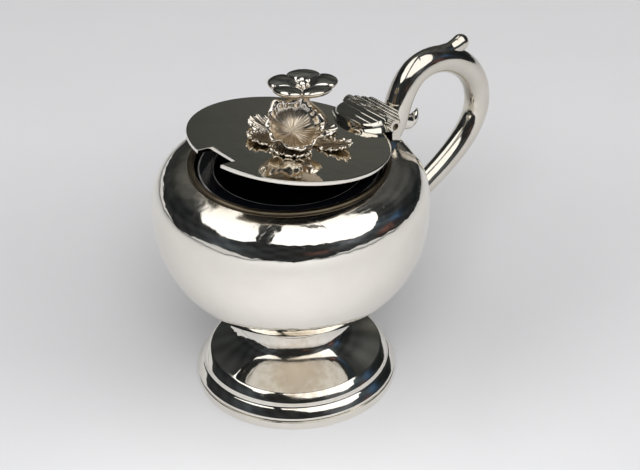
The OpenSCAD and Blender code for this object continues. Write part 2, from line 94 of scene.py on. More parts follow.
def turned(outline, sides=192):
    """Surface of revolution about the pot's axis: radius r and height z of the outline become
    (r cos a, r sin a, z). An outline from axis to axis ends in points, any other is a loop."""
    p = np.asarray(outline, float)
    ends = p[0, 0] < 1e-6
    ring = p[1:-1] if ends else p
    a = np.arange(sides) * 2 * np.pi / sides
    r, z = ring[:, :1], ring[:, 1:]
    rings = np.stack(np.broadcast_arrays(r * np.cos(a), r * np.sin(a), z), -1)
    return capped(rings, (0, 0, p[0, 1]), (0, 0, p[-1, 1])) if ends else capped(rings)


def node(tree, kind, links=None, **settings):
    """One node in a tree. Settings are its properties, and links its inputs by name or number:
    another node's output socket is joined, any other value is set."""
    made = tree.nodes.new(kind)
    for key, value in settings.items():
        setattr(made, key, value)
    for key, value in (links or {}).items():
        if isinstance(value, bpy.types.NodeSocket):
            tree.links.new(value, made.inputs[key])
        else:
            made.inputs[key].default_value = value
    return made


def maths(tree, operation, *values, clamp=False):
    """Output of a math node: the operation on up to three values."""
    links = dict(enumerate(values))
    return node(tree, "ShaderNodeMath", links, operation=operation, use_clamp=clamp).outputs[0]


def vectors(tree, operation, *values):
    """Output of a vector math node: a number for a length or a distance, or else a vector."""
    made = node(tree, "ShaderNodeVectorMath", dict(enumerate(values)), operation=operation)
    return made.outputs["Value" if operation in ("LENGTH", "DISTANCE") else "Vector"]


def ranged(tree, value, low=0.0, high=1.0, start=0.0, end=1.0, curve="LINEAR"):
    """A value carried from the range low to high over to the range start to end, and held there."""
    links = {"Value": value, 1: low, 2: high, 3: start, 4: end}
    return node(tree, "ShaderNodeMapRange", links, interpolation_type=curve).outputs[0]


def noise(tree, place, scale, detail, roughness=0.5):
    """Value of a noise texture at a place."""
    links = {"Vector": place, "Scale": scale, "Detail": detail, "Roughness": roughness}
    return node(tree, "ShaderNodeTexNoise", links).outputs[0]


def mixed(tree, share, first, second):
    """Colour that goes from the first to the second by a share."""
    made = node(tree, "ShaderNodeMix", {"Factor": share}, data_type="RGBA")
    made.inputs["A"].default_value = (*first, 1)
    made.inputs["B"].default_value = (*second, 1)
    return made.outputs["Result"]


def marks_group():
    """Wear of a polished sheet: hairline scratches in two directions where stretched noise passes a
    threshold, slow dents of the hammer from soft noise, and cloudy patches where the polish is dull."""
    group = bpy.data.node_groups.new("polish_marks", "ShaderNodeTree")
    for label in ("Scratches", "Dents"):
        group.interface.new_socket(label, in_out="INPUT", socket_type="NodeSocketFloat")
    for label in ("Dull", "Height"):
        group.interface.new_socket(label, in_out="OUTPUT", socket_type="NodeSocketFloat")
    given, out = group.nodes.new("NodeGroupInput"), group.nodes.new("NodeGroupOutput")
    place = node(group, "ShaderNodeTexCoord").outputs["Object"]
    lines = []
    for turn, stretch in ((0.5, (30, 900, 700)), (2.2, (800, 45, 900))):
        links = {"Vector": place, "Rotation": (0.3, turn, turn), "Scale": stretch}
        lay = node(group, "ShaderNodeMapping", links).outputs[0]
        lines.append(ranged(group, noise(group, lay, 1.0, 2.0), 0.66, 0.74))
    hair = maths(group, "MULTIPLY", maths(group, "MAXIMUM", *lines), given.outputs["Scratches"])
    dull = ranged(group, noise(group, place, 55.0, 5.0), 0.5, 0.8)
    swell = maths(group, "MULTIPLY", noise(group, place, 90.0, 3.0, 0.55), given.outputs["Dents"])
    group.links.new(maths(group, "MAXIMUM", hair, dull), out.inputs["Dull"])
    group.links.new(maths(group, "MULTIPLY_ADD", hair, -0.01, swell), out.inputs["Height"])
    return group


polish_marks = marks_group()


def principled(name):
    """A new material, its node tree and its Principled shader."""
    made = bpy.data.materials.new(name)
    made.use_nodes = True
    return made, made.node_tree, made.node_tree.nodes["Principled BSDF"]


def silver_finish(name, bright, warm, toning, rough, dents, scratches, worn_and_shaded_at=None):
    """Polished silver: a metal whose colour goes from bright to warm by a soft cloud mask and by the mesh's
    own recess value. The marks' dull places and the recesses are rougher, the marks' height is the bump, and
    worn_and_shaded_at is the middle of a place that is rubbed matt and painted darker and warmer as painted
    shade."""
    made, tree, metal = principled(name)
    metal.inputs["Metallic"].default_value = 1.0
    marks = node(tree, "ShaderNodeGroup", node_tree=polish_marks)
    marks.inputs["Scratches"].default_value = scratches
    marks.inputs["Dents"].default_value = dents
    place = node(tree, "ShaderNodeTexCoord").outputs["Object"]
    recess = node(tree, "ShaderNodeAttribute", attribute_name="recess").outputs["Fac"]
    cloud = ranged(tree, noise(tree, place, 170.0, 5.0), 0.35, 0.75, 0.0, toning)
    share = maths(tree, "ADD", cloud, recess, clamp=True)
    shine = ranged(tree, marks.outputs["Dull"], start=rough, end=rough + 0.12)
    shine = maths(tree, "MULTIPLY_ADD", recess, 0.3, shine)
    if worn_and_shaded_at is not None:
        away = vectors(tree, "DISTANCE", place, worn_and_shaded_at)
        ragged = maths(tree, "MULTIPLY_ADD", noise(tree, place, 500.0, 6.0), 0.012, away)
        # The rubbed place is rougher, and its colour is also pulled warm and dark as painted shade.
        rub_and_shade = ranged(tree, ragged, 0.019, 0.009, curve="SMOOTHSTEP")
        share = maths(tree, "MULTIPLY_ADD", rub_and_shade, 0.6, share)
        shine = maths(tree, "MULTIPLY_ADD", rub_and_shade, 0.11, shine)
    tree.links.new(mixed(tree, share, bright, warm), metal.inputs["Base Color"])
    tree.links.new(shine, metal.inputs["Roughness"])
    relief = {"Height": marks.outputs["Height"], "Strength": 1.0, "Distance": 0.00012}
    tree.links.new(node(tree, "ShaderNodeBump", relief).outputs[0], metal.inputs["Normal"])
    return made


bright_tone, warm_tone = (0.88, 0.85, 0.785), (0.50, 0.39, 0.255)
silver = silver_finish("polished_silver", bright_tone, warm_tone, 0.08, 0.035, 0.8, 0.8)


def add_piece(name, shape, material, body, nodes, crease=40, recess=None):
    """Mesh object at the origin, in metres, smooth up to the crease angle. It rides on its CAD body
    and stands for the CAD nodes named. Recess is how deep in a hollow each point lies, 0 to 1."""
    points, faces = shape
    mesh = bpy.data.meshes.new(name)
    mesh.from_pydata((np.asarray(points) * MM).tolist(), [], faces)
    mesh.shade_smooth()
    mesh.set_sharp_from_angle(angle=math.radians(crease))
    mesh.materials.append(material)
    if recess is not None:
        layer = mesh.attributes.new("recess", "FLOAT", "POINT")
        layer.data.foreach_set("value", np.asarray(recess, np.float32))
    piece = bpy.data.objects.new(name, mesh)
    bpy.context.scene.collection.objects.link(piece)
    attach(piece, body)
    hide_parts(*nodes)
    return piece


band_in = foot_r - band_w
band_outline = eased([(band_in, 0), (foot_r, 0), (foot_r, band_h), (band_in, band_h)], band_ease)
add_piece("foot_band_wire", turned(band_outline), silver, "pot", ["foot_band"])

# Foot: a disc of silver spun to a hollow sweep that spreads from the neck, with a rolled edge, a sloping
# step, a rounded moulding and a groove above the band. It is open below. Hands have rubbed a place on its
# front matt, and the same place is painted darker and warmer as painted shade.
ovolo_z, ovolo_h, groove = 3.1, 3.0, 0.5
flare_z, sweep_h = 9.0, 9.8
flare_r, neck_r, foot_t = 22.0, 12.2, 1.0
neck_z = flare_z + sweep_h
step_r = foot_r - 2.6
seam = 0.02


def bezier(points, count, first=0.0):
    """Cubic curve through control points: the sum of (1-t)^3, 3t(1-t)^2, 3t^2(1-t) and t^3 of them."""
    p = np.asarray(points, float)
    t = np.linspace(first, 1, count)[:, None]
    return (1 - t) ** 3 * p[0] + 3 * t * (1 - t) ** 2 * p[1] + 3 * t**2 * (1 - t) * p[2] + t**3 * p[3]


def unit(v):
    """Vectors scaled to length 1."""
    return v / np.linalg.norm(v, axis=-1, keepdims=True)


def quarter(centre, radii, start, end, count=12):
    """Elliptic arc about a centre, with two radii, from one angle to another in degrees."""
    a = np.radians(np.linspace(start, end, count))
    return np.asarray(centre) + np.stack([radii[0] * np.cos(a), radii[1] * np.sin(a)], -1)


def coned(start, length, shares, leans, count=28):
    """Path that starts at a point and goes down and out: its normal's angle above the level goes
    through the given leans, in degrees, at the given shares of its length."""
    lean = np.radians(np.interp(np.linspace(0, 1, count), shares, leans))
    step = length / count * np.stack([np.sin(lean), -np.cos(lean)], -1)
    return np.asarray(start) + np.cumsum(step, 0)


neck_pull, flare_pull = 0.40 * sweep_h, np.array([0.10 * (flare_r - neck_r), 0.37 * sweep_h])
sweep = bezier([(neck_r, neck_z), (neck_r, neck_z - neck_pull), (neck_r, flare_z) + flare_pull,
                (flare_r, flare_z)], 70)
sweep_along = unit(np.gradient(sweep, axis=0))
sweep_inside = sweep - foot_t * np.stack([-sweep_along[:, 1], sweep_along[:, 0]], -1)
roll = coned(sweep[-1], 3.3, [0, 0.2, 0.45, 0.84, 1], [66, 44.5, 41.5, 36, 0])
step_wall = [(roll[-1, 0], ovolo_z + 2.75), (roll[-1, 0] + 0.1, ovolo_z + 2.55)]
moulding = coned((foot_r - 1.6, ovolo_z + 2.3), 2.9, [0, 0.8, 1], [43.5, 36, 0])
moulding = np.vstack([moulding[0] + (-0.12, 0.05), moulding])
groove_cut = [(foot_r, ovolo_z - 0.22), (foot_r - 0.1, ovolo_z - 0.35), (foot_r - groove, ovolo_z - 0.4),
              (foot_r - groove, band_h + seam), (foot_r - groove - foot_t, band_h + seam)]
moulding_inside = quarter((step_r - 0.5, ovolo_z), (foot_r - 1.0 - step_r, ovolo_h - foot_t), 0, 90)
foot_outline = np.vstack([sweep, roll, step_wall, moulding, groove_cut, moulding_inside, sweep_inside[::-1]])
# Middle of the place that is rubbed matt and carries painted shade.
rubbed_and_shaded_at = (-0.0108, -0.0135, 0.0125)
rubbed_and_shaded = silver_finish("rubbed_shaded_silver", bright_tone, warm_tone, 0.12, 0.035, 0.6, 0.8, rubbed_and_shaded_at)
add_piece("foot_spun", turned(foot_outline[::-1], 224), rubbed_and_shaded, "pot", ["foot_spread"])

# Neck: a short ring of silver with a bead round it, turned in one and soldered between the foot's
# top and the belly. Its upper face follows the belly's curve.
bead_r, neck_in = 0.7, neck_r - 1.0
body_r, equator_z, belly_h, belly_power = 35.0, 51.9, 31.2, 2.22
neck_span = np.linspace(neck_r, neck_in, 8)
belly_low = equator_z - belly_h * (1 - (neck_span / body_r) ** belly_power) ** (1 / belly_power)
neck_outline = np.vstack([
    [(neck_in, neck_z + seam)],
    quarter((neck_r, neck_z + seam + bead_r), (bead_r, bead_r), -90, 90, 20),
    np.stack([neck_span, belly_low - seam], -1)])
add_piece("neck_ring", turned(neck_outline), silver, "pot", ["neck_collar"])

# Pot: one sheet of silver raised with the hammer from the middle of the base to the mouth, planished
# and polished. Faint dents of the hammer bend its reflections, and it is duller close to the mouth.
shell_t, mouth_r, mouth_z = 0.9, 24.5, 64.3
dull_z, dull_h, dull_most = 62.3, 1.9, 0.3


def superellipse(r, h, power, angle):
    """Points of a rounded quarter: radius r cos^(2/power) and height h sin^(2/power) of the angle."""
    return np.stack([r * np.cos(angle) ** (2 / power), h * np.sin(angle) ** (2 / power)], -1)


def shoulder(thick):
    """Control points of the curve from the belly's widest place over the shoulder to the mouth, at a
    depth below the outer face."""
    return np.array([(body_r - thick, equator_z), (body_r - thick, equator_z + 8.4),
                     (mouth_r + 6.9, mouth_z - 0.85 - thick), (mouth_r, mouth_z - thick)])


def pot_outline(thick, count):
    """The pot's curve from the base's middle over the belly and the shoulder to the mouth, at a depth
    below the outer face."""
    low = superellipse(body_r - thick, belly_h - thick, belly_power, np.linspace(np.pi / 2, 0, count))
    low = low * (1, -1) + (0, equator_z)
    low[0, 0] = 0
    return np.vstack([low, bezier(shoulder(thick), count)[1:]])


planished = silver_finish("planished_silver", (0.87, 0.84, 0.775), warm_tone, 0.06, 0.04, 2.2, 1.0)
pot_points, pot_faces = turned(np.vstack([pot_outline(0, 110), pot_outline(shell_t, 40)[::-1]]), 288)
near_mouth = dull_most * np.clip((pot_points[:, 2] - dull_z) / dull_h, 0, 1)
add_piece("pot_shell", (pot_points, pot_faces), planished, "pot", ["body_shell"], 40, near_mouth)

# Liner seat: a collar of silver sheet soldered inside the mouth, with a ledge that carries the glass liner's
# rim. Its silver is painted dark as painted shade, for the shade inside the mouth.
seat_t, seat_top, ledge_w = 0.9, 61.3, 2.9
seat_in, seat_out = mouth_r - seat_t, mouth_r - seam
ledge_in, ledge_z = seat_in - ledge_w, seat_top - seat_t
seat_outline = eased([(ledge_in, ledge_z), (seat_out, ledge_z), (seat_out, mouth_z),
                      (seat_in, mouth_z), (seat_in, seat_top), (ledge_in, seat_top)], 0.15, 4)
# Painted shade: the seat's silver is given a dark brown colour because it lies in shade under the lid.
seat_shade_silver = silver_finish("shaded_seat_silver", (0.30, 0.26, 0.20), (0.10, 0.08, 0.06), 0.9, 0.22, 0.6, 0.4)
add_piece("seat_collar", turned(seat_outline), seat_shade_silver, "pot", ["liner_seat"])

# Mouth wire: a half-round wire soldered over the edge of the mouth. Mustard and polish have toned it
# a warm brown.
wire_in, wire_w, wire_h, flank = seat_in + 0.1, 1.8, 0.65, 0.15
toned = silver_finish("toned_silver", (0.21, 0.17, 0.12), (0.10, 0.08, 0.05), 0.9, 0.3, 0.6, 0.6)
wire_top = quarter((wire_in + wire_w / 2, mouth_z + flank), (wire_w / 2, wire_h - flank), 0, 180, 24)
wire_outline = np.vstack([[(wire_in, mouth_z + seam), (wire_in + wire_w, mouth_z + seam)], wire_top])
add_piece("mouth_ring", turned(wire_outline, 224), toned, "pot", ["mouth_wire"])

# Handle: a tapering silver scroll, cast or bent from tube, soldered by both ends to the shoulder and the
# belly. It lies in the plane y = 0. Hands have brushed its polish, and its silver is painted darker than the
# pot's as painted shade.
tube_r, tube_end_r = 3.55, 2.5
root_share, drop = 0.42, 16.4
arch, bow, tail = np.array([46.0, 74.7]), np.array([64.9, 57.5]), np.array([46.5, 38.8])
tail_dir = unit(np.array([-2.0, -1.0]))
root_at = bezier(shoulder(0), 2, root_share)[0]
legs = np.diff(shoulder(0), axis=0)
root_lean = unit((1 - root_share) ** 2 * legs[0] + 2 * root_share * (1 - root_share) * legs[1]
                 + root_share**2 * legs[2])
root_dir = np.array([root_lean[1], -root_lean[0]])
end_r = body_r * (1 - (drop / belly_h) ** belly_power) ** (1 / belly_power)
end_at = np.array([end_r, equator_z - drop])
end_dir = unit(np.array([(end_r / body_r) ** (belly_power - 1) / body_r,
                         -((drop / belly_h) ** (belly_power - 1)) / belly_h]))
runs = [[root_at + seam * root_dir, root_at + 4.1 * root_dir, arch + (-9.8, -0.8), arch],
        [arch, arch + (8.5, 0.7), bow + (0, 10), bow],
        [bow, bow - (0, 9.3), tail - 8.4 * tail_dir, tail],
        [tail, tail + 5.6 * tail_dir, end_at + (5.6, -0.5), end_at + seam * end_dir]]


def tube(path, radii, sides, cuts=(None, None), ends=(0.0, 0.0)):
    """Round tube along a path in the plane y = 0: each ring is the centre plus r (cos a u + sin a v),
    with u across the plane and v square to the path. A cut slides an end ring along the path onto a
    plane with that normal, and `ends` moves the closing points beyond the end rings."""
    path = np.asarray(path)
    along = unit(np.gradient(path, axis=0))
    a = np.arange(sides) * 2 * np.pi / sides
    across = np.stack([-along[:, 1], along[:, 0]], -1)
    r = np.asarray(radii)[:, None]
    flat = path[:, None, :] + (r * np.sin(a))[..., None] * across[:, None, :]
    for row, normal in zip((0, -1), cuts):
        if normal is not None:
            offset = (flat[row] - path[row]) @ normal / (along[row] @ normal)
            flat[row] = flat[row] - offset[:, None] * along[row]
    rings = np.stack([flat[..., 0], np.broadcast_to(r * np.cos(a), flat.shape[:2]), flat[..., 1]], -1)
    first, last = path[0] - ends[0] * along[0], path[-1] + ends[1] * along[-1]
    return capped(rings, (first[0], 0, first[1]), (last[0], 0, last[1]))


handle_path = np.vstack([bezier(run, 61)[(k > 0):] for k, run in enumerate(runs)])
travel = np.linspace(0, len(runs), len(handle_path))
handle_radii = tube_r + (tube_end_r - tube_r) * (np.clip(travel - 1.4, 0, None) / 2.6) ** 1.2
# Painted shade: this silver's colour is darker than the pot's, for the handle, spur and hinge pieces, which
# are the same metal.
brushed_and_shaded = silver_finish("brushed_shaded_silver", (0.74, 0.71, 0.645), warm_tone, 0.25, 0.075, 1.3, 1.0)
handle_tube = tube(handle_path, handle_radii, 64, (-root_dir, -end_dir))
add_piece("handle_scroll", handle_tube, brushed_and_shaded, "pot", ["handle"])

# Spur: a thumb rest that ends in a knob, cast in silver and soldered along the top of the handle's arch.
# Thumbs have brushed it like the handle, and it has the handle's painted shade.
spur_over = tube_r - 2.4


def horn(controls, sizes, count=48):
    """Tapered horn along a cubic curve: its radius goes through the given sizes at even steps, and
    each end is rounded like a ball."""
    path = bezier(controls, count)
    size = np.interp(np.linspace(0, len(sizes) - 1, count), np.arange(len(sizes)), sizes)
    along = unit(np.gradient(path, axis=0))
    turn = np.linspace(80, 0, 9)[:-1, None] * np.pi / 180
    start = path[0] - size[0] * np.sin(turn) * along[0]
    end = (path[-1] + size[-1] * np.sin(turn) * along[-1])[::-1]
    start_size, end_size = size[0] * np.cos(turn[:, 0]), (size[-1] * np.cos(turn[:, 0]))[::-1]
    whole, radii = np.vstack([start, path, end]), np.concatenate([start_size, size, end_size])
    return tube(whole, radii, 40, ends=(0.02 * size[0], 0.02 * size[-1]))


spur = [arch + (1, spur_over - 0.6), arch + (5, spur_over + 0.2), arch + (8.6, spur_over - 0.8),
        arch + (12.4, spur_over + 0.5)]
add_piece("thumb_spur", horn(spur, [2.5, 2.3, 1.9, 2.2]), brushed_and_shaded, "pot", ["handle_spur"])

# Curl: a small pointed scroll behind the handle's root, cast in silver and soldered on. It is out of
# the hand's way, so it keeps its polish.
heel = root_at + (4.4, 1.2)
curl = [heel, heel + (2.6, -1.6), heel + (4.9, -1.5), heel + (5.6, 1.2)]
add_piece("root_curl", horn(curl, [2.3, 2.2, 1.4, 0.35]), silver, "pot", ["handle_curl"])

# Hinge, pot's half: a reeded block of silver soldered to the shoulder in front of the handle, with
# three of the five knuckles, and the pin that runs through them all. Both are the CAD solids.


def dress(name, material):
    """A CAD solid that is right as it is gets this material."""
    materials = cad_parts[name].data.materials
    materials.clear()
    materials.append(material)


# Painted shade: the block wears the handle's darker silver.
dress("hinge_pot_leaf", brushed_and_shaded)
dress("hinge_pin", toned)

# Lid: a flat disc of silver sheet with the spoon slot cut from its edge, turned up on its hinge. Its
# edges are eased with a file and polished.
lid_r, lid_t, lid_z, lid_ease, face_in = 25.4, 1.0, 65.1, 0.18, 0.45
lid_top = lid_z + lid_t
hinge_x, hinge_z, lid_ajar = 27.3, 67.1, math.radians(10)
slot_half, slot_deep = 4.45, 4.9
barrel_r, barrel_gap = 1.8, 0.3
hinge_edge = hinge_x - barrel_r - barrel_gap


def ajar(points):
    """Points turned about the hinge's axis by the angle at which the lid stands ajar."""
    x, y, z = np.moveaxis(np.asarray(points, float), -1, 0)
    x, z = x - hinge_x, z - hinge_z
    c, s = math.cos(lid_ajar), math.sin(lid_ajar)
    return np.stack([hinge_x + c * x + s * z, y, hinge_z - s * x + c * z], -1)


def lid_outline():
    """The disc's edge from the hinge's straight edge round to the slot, the slot, and on round."""
    start = math.asin(math.sqrt(lid_r**2 - hinge_edge**2) / lid_r)
    stop = math.pi - math.asin(slot_half / lid_r)
    a = np.linspace(start, stop, 120)
    half = np.stack([lid_r * np.cos(a), lid_r * np.sin(a)], -1)
    slot_floor = np.array([(-lid_r + slot_deep, slot_half), (-lid_r + slot_deep, -slot_half)])
    return np.vstack([half, slot_floor, (half * (1, -1))[::-1]])


def plate(outline, low, high, ease):
    """Flat plate over an outline: its edge is a half round of the given ease above and below, and each
    face is one flat polygon that starts a little way in from the edge."""
    p = np.asarray(outline, float)
    along = unit(np.roll(p, -1, 0) - p) + unit(p - np.roll(p, 1, 0))
    inward = unit(np.stack([-along[:, 1], along[:, 0]], -1))
    a = np.radians(np.linspace(0, 90, 5))
    sink, lift = ease * (1 - np.sin(a)), ease * (1 - np.cos(a))
    depth = np.concatenate([[face_in], sink, sink[::-1], [face_in]])
    level = np.concatenate([[low], low + lift, high - lift[::-1], [high]])
    flat = p[None] + depth[:, None, None] * inward[None]
    rings = np.concatenate([flat, np.broadcast_to(level[:, None, None], (*flat.shape[:2], 1))], -1)
    rim = np.arange(len(p))
    caps = [rim[::-1].tolist(), (rim + (len(depth) - 1) * len(p)).tolist()]
    return rings.reshape(-1, 3), grid_faces(len(depth), len(p)).tolist() + caps


lid_points, lid_faces = plate(lid_outline(), lid_z, lid_top, lid_ease)
add_piece("lid_disc", (ajar(lid_points), lid_faces), silver, "lid", ["lid_plate"], 30)

# Hinge, lid's half: a cast silver tongue soldered to the lid, with a reeded top that falls towards its
# round front and hollow sloping ends, and the two knuckles between the pot's three.
tongue_tip, tongue_back, tongue_half = 18.3, 26.4, 9.2
tongue_low, tongue_gain, tongue_run, tongue_power = 1.3, 1.2, 7.2, 2.6
reed_pitch, reed_deep, reed_w = 2.0, 0.12, 0.1
edge_h, edge_w, flank_power = 0.25, 0.35, 2.2
x = np.linspace(tongue_tip + seam, tongue_back, 400)
groove_off = np.abs((x - tongue_tip) % reed_pitch - reed_pitch / 2)
tongue_rise = tongue_low + tongue_gain * np.clip((x - tongue_tip) / tongue_run, 0, 1)
tongue_edge = lid_top + tongue_rise - 0.15
tongue_top = lid_top + tongue_rise + 0.15 - reed_deep * np.exp(-((groove_off / reed_w) ** 2))
to_front = (tongue_back - x) / (tongue_back - tongue_tip)
tongue_foot = tongue_half * (1 - to_front**tongue_power) ** (1 / tongue_power)
tongue_w = np.maximum(tongue_foot - 0.8 * tongue_rise, 0.45 * tongue_foot)
flank_up = np.linspace(0, 1, 7)[:, None]
flank_y = tongue_w + edge_h + (tongue_foot - tongue_w - edge_h) * (1 - flank_up) ** flank_power
flank_z = lid_top + seam + (tongue_edge - edge_h - lid_top - seam) * flank_up
side = [*zip(flank_y, flank_z), (tongue_w, tongue_edge), (tongue_w - edge_w, tongue_top)]
corners = side + [(-y, z) for y, z in reversed(side)]
tongue_rings = np.stack([np.stack([x, y, z], -1) for y, z in corners], 1)
middle_z = lid_top + 0.5
points, faces = capped(tongue_rings, (tongue_tip, 0, middle_z), (tongue_back, 0, middle_z))
add_piece("hinge_tongue", (ajar(points), faces), brushed_and_shaded, "lid", ["hinge_lid_leaf"], 35)
bore_r, knuckle_len, knuckle_gap, knuckle_ease = 0.9, 2 * tongue_half / 5, 0.075, 0.2
for number in (1, 3):
    low = knuckle_len * number - tongue_half + knuckle_gap
    high = low + knuckle_len - 2 * knuckle_gap
    knuckle = eased([(bore_r, low), (barrel_r, low), (barrel_r, high), (bore_r, high)], knuckle_ease)
    a = np.arange(48) * 2 * np.pi / 48
    r, along_y = knuckle[:, :1], knuckle[:, 1:]
    across = (hinge_x + r * np.cos(a), along_y, hinge_z - r * np.sin(a))
    rings = np.stack(np.broadcast_arrays(*across), -1)
    add_piece(f"knuckle_{number}", capped(rings), brushed_and_shaded, "lid", ["hinge_lid_leaf"])

# Leaves: five toothed leaves cut from sheet, chased with a midrib and veins, and soldered flat on the
# lid round the blossom, their tips lifted and their edges crinkled.
leaf_len, leaf_w, leaf_t = 9.2, 6.6, 0.5
spray_silver = silver_finish("spray_silver", (0.93, 0.88, 0.80), warm_tone, 0.3, 0.10, 0.9, 0.4)


def sheet(lower, upper, hollow, under, rows=28, cols=176):
    """Thin closed sheet on rays from a middle: the lower face from the middle out, a round edge, and
    the upper face back to the middle. Each face is a function of the share s and the angle a. Also
    the recess of each point: `under` below, fading over the edge, and `hollow` of s and a above."""
    s = np.linspace(0, 1, rows)[1:, None]
    a = np.arange(cols)[None, :] * 2 * np.pi / cols
    low, high = lower(s, a), upper(s, a)
    thick = np.linalg.norm(high[-1] - low[-1], axis=-1, keepdims=True)
    out = unit(low[-1] - low[-2])
    t = np.linspace(0, 1, 7)[1:-1, None, None]
    edge = (1 - t) * low[-1] + t * high[-1] + 0.5 * thick * np.sin(np.pi * t) * out
    deep = np.broadcast_to(hollow(s, a), high.shape[:2])
    fade = np.broadcast_to(under * (1 - t[..., 0]), edge.shape[:2])
    recess = np.concatenate([np.full(low.shape[:2], under), fade, deep[::-1]])
    zero = np.zeros((1, 1))
    rings = np.concatenate([low, edge, high[::-1]])
    shape = capped(rings, lower(zero, zero)[0, 0], upper(zero, zero)[0, 0])
    return shape, np.concatenate([recess.ravel(), [under, deep[0, 0]]])


def leaf(turn, start, lift, broad, long):
    """One leaf: an egg outline with teeth, height rising with the square of the distance along it,
    less the sunk midrib and the veins that slant from it, with waves that grow towards the edge."""
    def spread(s, a):
        reach = 1 + 0.035 * np.sin(11 * a) + 0.02 * np.sin(25 * a + 1)
        x = leaf_len / 2 * long * (1 + s * np.cos(a) * reach)
        y = leaf_w / 2 * broad * s * np.sin(a) * reach * (1 - 0.08 * np.cos(a))
        return x, y

    def upper(s, a):
        x, y = spread(s, a)
        rib = 0.22 * np.exp(-((y / 0.5) ** 2)) * np.clip(x, 0, 1)
        veins = 0.12 * np.sin(7.5 * (y - 0.2 * np.sign(y) * x)) * np.clip(np.abs(y) - 0.2, 0, 1)
        waves = 0.2 * s**4 * (np.sin(11 * a + 0.6) + 0.6 * np.sin(23 * a + start))
        return np.stack([x, y, leaf_t + lift * (x / leaf_len) ** 2 - rib + veins + waves], -1)

    def lower(s, a):
        p = upper(s, a)
        p[..., 2] = np.maximum(0, p[..., 2] - leaf_t)
        return p

    (points, faces), recess = sheet(lower, upper, lambda s, a: 0.45 * (1 - s**3) + 0 * a, 0.8)
    x, y, z = points.T
    c, s = math.cos(math.radians(turn)), math.sin(math.radians(turn))
    x = x + start
    return (ajar(np.stack([c * x - s * y, s * x + c * y, z + lid_top + seam], -1)), faces), recess


# A leaf's direction in degrees, where it starts, its tip's lift, and its width and length as shares.
leaves = {"front_right": (-57, 6.6, 1.6, 1.1, 1), "hinge_side": (-5, 4.8, 0.3, 1, 1),
          "back": (104, 4.2, 2.2, 1.2, 0.8), "slot_side": (168, 3.3, 1.5, 1.3, 0.85),
          "front": (233, 5.2, 0.5, 1.5, 0.75)}
for name, growth in leaves.items():
    shape, recess = leaf(*growth)
    add_piece("spray_" + name, shape, spray_silver, "lid", ["leaf_" + name], 50, recess)

# Blossom: an open flower with a thick crinkled rim and a veined inside, cast in one and set slanting
# on a boss whose stud passes through the lid to a nut. Boss and nut are the CAD solids.
blossom_r, blossom_depth, blossom_t = 6.9, 3.6, 0.7
blossom_tilt, blossom_turn, blossom_out, blossom_up = 36, 239, 2.9, 2.75
dress("finial_boss", toned)
dress("finial_nut", silver)


def turned_to(points, tilt, turn, at):
    """Points tipped about Y by the tilt and swung about Z by the turn, in degrees, then moved."""
    t, w = math.radians(tilt), math.radians(turn)
    tip = np.array([[math.cos(t), 0, math.sin(t)], [0, 1, 0], [-math.sin(t), 0, math.cos(t)]])
    swing = np.array([[math.cos(w), -math.sin(w), 0], [math.sin(w), math.cos(w), 0], [0, 0, 1]])
    return np.asarray(points) @ (swing @ tip).T + np.asarray(at)


def rayed(r, a, z):
    """Points at radius r, angle a and height z."""
    return np.stack(np.broadcast_arrays(r * np.cos(a), r * np.sin(a), z), -1)


def blossom_upper(s, a):
    """Bowl of the blossom: height grows with s^2.2, waves grow at the rim, veins run from the heart,
    and a lumpy bead stands on the rim."""
    r = s * blossom_r * (1 + s**5 * (0.05 * np.sin(5 * a + 0.9) + 0.035 * np.sin(12 * a)))
    z = blossom_t + blossom_depth * s**2.2 + 0.4 * s**4 * np.sin(7 * a + 0.35)
    fold = np.abs(np.cos(2.5 * a + 0.4)) ** 0.4
    z = z - 0.12 * s * (1 - s) * np.sin(38 * a + 6 * s) + 0.5 * np.sin(np.pi * s) ** 2 * (fold - 0.9)
    lumps = 0.45 + 0.16 * np.sin(17 * a + 1) + 0.14 * np.sin(26 * a)
    return rayed(r, a, z + lumps * np.exp(-(((s - 0.9) / 0.085) ** 2)))


def blossom_lower(s, a):
    """Outside of the bowl: the inside let down by the wall, and flat where it sits on the boss."""
    p = blossom_upper(s, a)
    p[..., 2] = np.maximum(0, blossom_depth * s**2.2 + 0.35 * s**9 * np.sin(9 * a + 0.35) - 0.3 * s)
    return p


def blossom_tone(s, a):
    """The inside is toned, less so in streaks, and the rim is bright."""
    return np.clip((0.9 - s) * 4, 0, 1) * (0.55 + 0.12 * np.sin(15 * a + 5 * s))


(points, faces), recess = sheet(blossom_lower, blossom_upper, blossom_tone, 0.9, 60, 336)
blossom_at = rayed(blossom_out, math.radians(blossom_turn), lid_top + blossom_up)
cup = (ajar(turned_to(points, blossom_tilt, blossom_turn, blossom_at)), faces)
add_piece("blossom_cup", cup, spray_silver, "lid", ["finial_blossom"], 60, recess)

# Stem: a silver wire soldered to the lid on the hinge side, that rises and opens into the flower's
# fluted calyx. Its polish is worn off and it is toned all over.
flower_at = np.array([3.85, 1.25, 11.6])
flower_tilt, flower_turn = 7.8, 133
flower_axis = turned_to([(0, 0, 1)], flower_tilt, flower_turn, (0, 0, 0))[0]
stem_foot = np.array([13.6, 1.9, seam])
stem_path = bezier([stem_foot, stem_foot + (-2.1, 0.3, 0.52 * flower_at[2]), flower_at - (0, 0, 5.2),
                    flower_at - seam * flower_axis], 80)
t = np.linspace(0, 1, 80)[:, None]
a = np.arange(60) * 2 * np.pi / 60
stem_radii = (0.6 + 0.25 * (1 - t) ** 3 + 1.8 * t**3.5) * (1 + 0.06 * t**2 * np.cos(10 * a))
stem_along = unit(np.gradient(stem_path, axis=0))
stem_side = unit(np.cross(stem_along, (0, 1, 0)))
stem_other = np.cross(stem_along, stem_side)
stem_round = np.cos(a)[:, None] * stem_side[:, None] + np.sin(a)[:, None] * stem_other[:, None]
